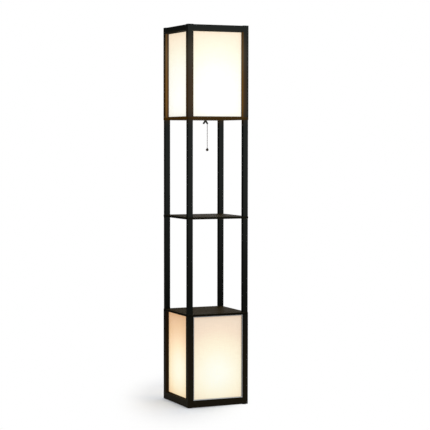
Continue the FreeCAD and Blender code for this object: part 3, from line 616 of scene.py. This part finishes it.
def makeWire(name, look, route):
    # A round wire along the route's smooth line, as long as that line
    line = lineOfRoute(name, route)
    piece = routeCurve(name, route, look["radius"])
    finishPiece(piece, "sleeve", "wire_sleeve", "tower", "internal_wires")


makeWire("supplyWire", wires, wires["supply"])
makeWire("switchedLead", wires, wires["lead"])

shadeSheets = {
    "reach": 0.112, "middle": 0.1190, "thickness": 0.0008,
    "upperHeights": (1.1780, 1.5245), "lowerHeights": (0.0275, 0.3715),
    "panelReach": 0.1089, "panelMiddle": 0.1260, "panelHeights": (0.0306, 0.3709),
    "pillow": 0.0009, "ripple": 0.00030,
    "rows": 86, "columns": 56,
    "upperSeed": 1, "lowerSeed": 5, "panelSeed": 4.2,       # each sheet ripples in its own way
}


def sheetGrid(look, reach, middle, heights, seed):
    # Stretched cloth: depth = pillow sin(pi u) sin(pi v) plus two slow ripples that die at the edges
    u, v = np.meshgrid(np.linspace(0, 1, look["columns"]), np.linspace(0, 1, look["rows"]))
    edge = np.sin(np.pi * u) * np.sin(np.pi * v)
    wave = np.sin(5.1 * u + 1.7 * seed) * np.cos(3.3 * v + 0.9 * seed) + 0.6 * np.sin(9.0 * v - 4.0 * u + seed)
    depth = look["pillow"] * edge + look["ripple"] * wave * np.sqrt(edge)
    x = reach * (2 * u - 1)
    z = heights[0] + (heights[1] - heights[0]) * v
    cloth = np.stack([u * 2 * reach, v * (heights[1] - heights[0])], -1)
    return np.stack([x, depth - middle, z], -1), cloth


def turnedToSide(points, quarter):
    # The front sheet carried round the tower's axis by quarter turns
    c, s = round(math.cos(quarter * math.pi / 2)), round(math.sin(quarter * math.pi / 2))
    return points @ np.array([(c, s, 0), (-s, c, 0), (0, 0, 1)], float)


def makeSheet(name, look, reach, middle, heights, quarter, seed, finish, body, node):
    # The cloth's middle surface, turned to its side and thickened by half its thickness each way
    grid, cloth = sheetGrid(look, reach, middle, heights, seed)
    piece = meshPiece(name, turnedToSide(grid, quarter), gridFaces(*grid.shape[:2]), closed=False, uv=cloth)
    wall = piece.modifiers.new("thickness", "SOLIDIFY")
    wall.thickness = look["thickness"]
    wall.offset = 0.0
    finishPiece(piece, finish, "shade_fabric", body, node)
    return piece


def makeShades(look):
    sides = ["front", "right", "back", "left"]
    for quarter, side in enumerate(sides):
        makeSheet(f"upperShade{side.title()}", look, look["reach"], look["middle"], look["upperHeights"], quarter,
                  quarter + look["upperSeed"], "upperShade", "tower", f"upper_shade_{side}")
        if side != "front":
            makeSheet(f"lowerShade{side.title()}", look, look["reach"], look["middle"], look["lowerHeights"],
                      quarter, quarter + look["lowerSeed"], "lowerShade", "tower", f"lower_shade_{side}")
    makeSheet("frontPanelShade", look, look["panelReach"], look["panelMiddle"], look["panelHeights"], 0,
              look["panelSeed"], "panelShade", "front_panel", "front_panel_shade")


makeShades(shadeSheets)
print("eight shade sheets made")

panelRim = {"reach": 109.0 * mm, "low": 30.5 * mm, "high": 371.0 * mm, "face": 3.0 * mm,
            "front": -132.5 * mm, "back": -126.5 * mm, "round": 0.5 * mm, "perSide": 24}


def makeRim(look):
    # A rounded strip profile carried round the panel's rectangle and mitred at the corners:
    # a profile point (a inwards, y) follows the rectangle that lies a inside the outline
    face, ease = look["face"], look["round"]
    front, back = look["front"], look["back"]
    bend = np.radians(np.linspace(0, 90, 5))
    a = np.r_[face, face - ease + ease * np.cos(bend), ease - ease * np.sin(bend), 0.0]
    y = np.r_[back, front + ease - ease * np.sin(bend), front + ease - ease * np.cos(bend), back]
    s = np.linspace(0, 1, look["perSide"], endpoint=False)
    turnX, turnZ = np.array([-1, 1, 1, -1, -1]), np.array([0, 0, 1, 1, 0])
    alongX = np.concatenate([turnX[k] + (turnX[k + 1] - turnX[k]) * s for k in range(4)])
    alongZ = np.concatenate([turnZ[k] + (turnZ[k + 1] - turnZ[k]) * s for k in range(4)])
    x = alongX[:, None] * (look["reach"] - a)[None]
    z = look["low"] + a + alongZ[:, None] * (look["high"] - look["low"] - 2 * a)[None]
    grid = np.stack([x, np.broadcast_to(y, x.shape), z], -1)
    piece = meshPiece("frontPanelRim", grid, gridFaces(*grid.shape[:2], wrapRows=True, wrapColumns=True),
                      sharpDegrees=50.0)
    return finishPiece(piece, "rim", "grey_rim", "front_panel", "front_panel_rim")


makeRim(panelRim)
print("panel rim made")

bulb = {"globe": 30.0 * mm, "neck": 14.0 * mm, "shoulder": 45.0 * mm, "neckLength": 6.7 * mm, "wall": 0.8 * mm,
        "footBore": 11.0 * mm, "around": 72, "seats": {"lower": 81.0 * mm, "upper": 1244.0 * mm}}
cap = {"radius": 13.1 * mm, "depth": 0.6 * mm, "length": 25.0 * mm, "pitch": 3.6 * mm, "tip": 4.0 * mm,
       "tipLength": 2.0 * mm, "threadFrom": 2.2 * mm, "threadTo": 21.5 * mm, "threadRows": 110, "around": 72}


def bulbLine(look, seat, inset):
    # From the top of the globe down: a sphere, then a hollow arc tangent to it and to the neck
    span = look["neck"] + look["shoulder"]
    drop = math.sqrt((look["globe"] + look["shoulder"]) ** 2 - span ** 2)
    centre = seat + look["neckLength"] + drop
    lean = math.degrees(math.acos(span / (look["globe"] + look["shoulder"])))
    globe = arc((0, centre), look["globe"] - inset, 90, -lean, 44)
    hollow = arc((span, centre - drop), look["shoulder"] + inset, 180 - lean, 180, 14)[1:]
    return np.r_[globe, hollow]


def makeBulb(name, look, seat):
    # Lathe: the outside line down, round the foot, and the line of the inside face up again
    outside, inside = bulbLine(look, seat, 0), bulbLine(look, seat, look["wall"])
    foot = np.array([(look["neck"], seat), (look["footBore"], seat), (look["footBore"], seat + look["wall"]),
                     (look["neck"] - look["wall"], seat + look["wall"])])
    grid = turnedGrid(np.r_[outside, foot, inside[::-1]], look["around"])
    piece = meshPiece(f"{name}BulbGlass", grid, gridFaces(*grid.shape[:2], wrapColumns=True), sharpDegrees=50.0)
    return finishPiece(piece, "bulb", "bulb_glass", "tower", f"{name}_bulb_glass")


def capGrid(look, seat):
    # A rolled screw thread: r = root + depth (1 + cos 2 pi (z / pitch - a / 2 pi)) / 2, fading at both ends
    a = np.linspace(0, 2 * np.pi, look["around"], endpoint=False)[None]
    first, last = seat - look["threadFrom"], seat - look["threadTo"]
    z = np.linspace(first, last, look["threadRows"])[:, None]
    fade = np.clip(np.minimum(first - z, z - last) / look["pitch"], 0, 1)
    root = look["radius"] - look["depth"]
    r = root + look["depth"] * fade * (1 + np.cos(2 * np.pi * (z / look["pitch"] - a / (2 * np.pi)))) / 2
    thread = np.stack([r * np.cos(a), r * np.sin(a), z * np.ones_like(a)], -1)
    foot = seat - look["length"]
    above = turnedGrid([(0, seat), (root, seat)], look["around"])
    # the end of the thread, a cone inwards, the contact with its rounded rim
    below = turnedGrid([(root, foot + 2.5 * mm), (root - 1.5 * mm, foot + 1.6 * mm), (look["tip"] + 1.5 * mm, foot),
                        (look["tip"], foot - 0.6 * mm), (look["tip"] - 0.8 * mm, foot - look["tipLength"]),
                        (0, foot - look["tipLength"])], look["around"])
    return np.concatenate([above, thread, below])


def makeCaps(look, seats):
    # One cap's grid below each bulb's seat, both in one mesh
    grids = [capGrid(look, seat) for seat in seats]
    faces = gridFaces(*grids[0].shape[:2], wrapColumns=True)
    count = grids[0].shape[0] * grids[0].shape[1]
    piece = meshPiece("bulbCaps", np.concatenate([g.reshape(-1, 3) for g in grids]),
                      np.concatenate([faces, faces + count]), sharpDegrees=60.0)
    return finishPiece(piece, "cap", "cap_metal", "tower", "bulb_caps")


for name, seat in bulb["seats"].items():
    makeBulb(name, bulb, seat)
makeCaps(cap, bulb["seats"].values())
print("bulbs and caps made")

studio = {
    "floorHalf": 12.0,
    "floorColour": 0.93,
    "floorLift": 0.10,          # so that the lit floor reaches white, seen by the camera
    # a soft oval of shade lies to the left and the back, away from the soft box; past its outline all is white
    "oval": {"middle": (-0.043, 0.150, 0.0), "turnDegrees": 23.67, "halfWidth": 0.29, "halfLength": 0.90,
             "whiteFrom": 0.40, "whiteBy": 1.05, "shade": (0.892, 0.90, 0.917)},
    # and a contact shadow out from the tower's outline
    "contact": (0.91, 0.93, 0.96), "contactFrom": 0.1335, "contactBy": 0.300,
    "plain": 0.51,              # mean light from all round
    "towards": (0.30, 0.15, 0.66),       # and how it grows towards the right, the back and above
    "softBox": {"place": (0.85, -2.05, 1.80), "aim": (0.0, 0.0, 1.30), "size": 0.7, "power": 8.0},
    "flags": [{"middle": (-0.78, 1.46, 1.20), "faces": (-0.40, 0.915), "half": (1.7, 1.5)},
              {"middle": (1.70, 2.54, 0.20), "faces": (-0.40, 0.915), "half": (1.0, 0.55)}],
}


def makeFloor(look):
    # A flat square; white where seen outside the oval, and inside it paper times the shades of oval and contact
    half = look["floorHalf"]
    floor = meshPiece("studioFloor", [(-half, -half, 0), (half, -half, 0), (half, half, 0), (-half, half, 0)],
                      [(0, 1, 2, 3)], closed=False)
    material = bpy.data.materials.new("studioFloor")
    material.use_nodes = True
    tree = material.node_tree
    tree.nodes.remove(tree.nodes["Principled BSDF"])
    seen = seenDirectly(tree)
    place = objectPlace(tree)
    # Inside the oval (across / half width)^2 + (along / half length)^2 is less than 1
    oval = look["oval"]
    turn = math.radians(oval["turnDegrees"])
    across = (math.cos(turn) / oval["halfWidth"], -math.sin(turn) / oval["halfWidth"], 0)
    along = (math.sin(turn) / oval["halfLength"], math.cos(turn) / oval["halfLength"], 0)
    offset = vectorCalc(tree, "SUBTRACT", place, oval["middle"])
    inOval = newNode(tree, "CombineXYZ", {0: vectorCalc(tree, "DOT_PRODUCT", offset, across, result="Value"),
                                          1: vectorCalc(tree, "DOT_PRODUCT", offset, along, result="Value")})
    away = vectorCalc(tree, "LENGTH", inOval.outputs[0], result="Value")
    outside = smoothBetween(tree, away, oval["whiteFrom"], oval["whiteBy"])
    white = calc(tree, "MULTIPLY", outside, seen)
    grey = look["floorColour"]
    x, y, _ = newNode(tree, "SeparateXYZ", {0: place}).outputs
    far = calc(tree, "MAXIMUM", calc(tree, "ABSOLUTE", x), calc(tree, "ABSOLUTE", y))
    clear = smoothBetween(tree, far, look["contactFrom"], look["contactBy"])
    shade = blendColours(tree, clear, (*[grey * c for c in look["contact"]], 1), (grey, grey, grey, 1))
    dimmed = blendColours(tree, outside, (*oval["shade"], 1), (1, 1, 1, 1))
    shade = blendColours(tree, 1.0, shade, dimmed, "MULTIPLY")
    paper = newNode(tree, "BsdfDiffuse", {"Color": shade}).outputs[0]
    lift = newNode(tree, "Emission", {"Strength": calc(tree, "MULTIPLY", seen, look["floorLift"])}).outputs[0]
    near = newNode(tree, "AddShader", {0: paper, 1: lift}).outputs[0]
    plain = newNode(tree, "Emission").outputs[0]
    mixed = newNode(tree, "MixShader", {0: white, 1: near, 2: plain}).outputs[0]
    tree.links.new(mixed, tree.nodes["Material Output"].inputs["Surface"])
    floor.data.materials.append(material)


def lightWorld(look):
    # Light from a direction = plain + that direction . towards, never below 0; what is seen there is white
    world = bpy.data.worlds.new("studioWorld")
    world.use_nodes = True
    tree = world.node_tree
    tree.nodes.remove(tree.nodes["Background"])
    seen = seenDirectly(tree)
    way = newNode(tree, "TexCoord").outputs["Generated"]
    level = calc(tree, "ADD", vectorCalc(tree, "DOT_PRODUCT", way, look["towards"], result="Value"), look["plain"])
    strength = calc(tree, "MAXIMUM", level, 0.0)
    soft = newNode(tree, "Background", {"Color": (1, 1, 1, 1), "Strength": strength}).outputs[0]
    white = newNode(tree, "Background", {"Color": (1, 1, 1, 1), "Strength": 1.0}).outputs[0]
    mixed = newNode(tree, "MixShader", {0: seen, 1: soft, 2: white}).outputs[0]
    tree.links.new(mixed, tree.nodes["World Output"].inputs["Surface"])
    bpy.context.scene.world = world


def makeSoftBox(look):
    # A square lamp whose face looks from its place along the way to its aim
    data = bpy.data.lights.new("softBox", "AREA")
    data.size = look["size"]
    data.energy = look["power"]
    lamp = bpy.data.objects.new("softBox", data)
    lamp.location = look["place"]
    aim = [b - a for a, b in zip(look["place"], look["aim"])]
    lamp.rotation_euler = (math.atan2(math.hypot(aim[0], aim[1]), -aim[2]), 0, math.atan2(aim[0], -aim[1]) + math.pi)
    lamp.visible_camera = False
    bpy.context.collection.objects.link(lamp)


def makeFlag(name, look):
    # A dark card behind, out of sight: the timber's left faces mirror the tall one, the lower board the low one.
    # Its corners lie half a width to each side of the middle, square to the way it faces, and half a height up
    # or down
    x, y, z = look["middle"]
    fx, fy = look["faces"]
    wide, high = look["half"]
    corner = [(x + a * wide * fy, y - a * wide * fx, z + b * high) for a, b in ((-1, -1), (1, -1), (1, 1), (-1, 1))]
    flag = meshPiece(name, corner, [(0, 1, 2, 3)], closed=False)
    cardBlack = (0.006, 0.006, 0.006, 1)
    flag.data.materials.append(startMaterial(name, Base_Color=cardBlack, Roughness=1.0)[0])
    flag.visible_camera = flag.visible_diffuse = flag.visible_shadow = flag.visible_transmission = False


makeFloor(studio)
makeSoftBox(studio["softBox"])
for name, look in zip(("tallFlag", "lowFlag"), studio["flags"]):
    makeFlag(name, look)
lightWorld(studio)
print("floor and light ready")
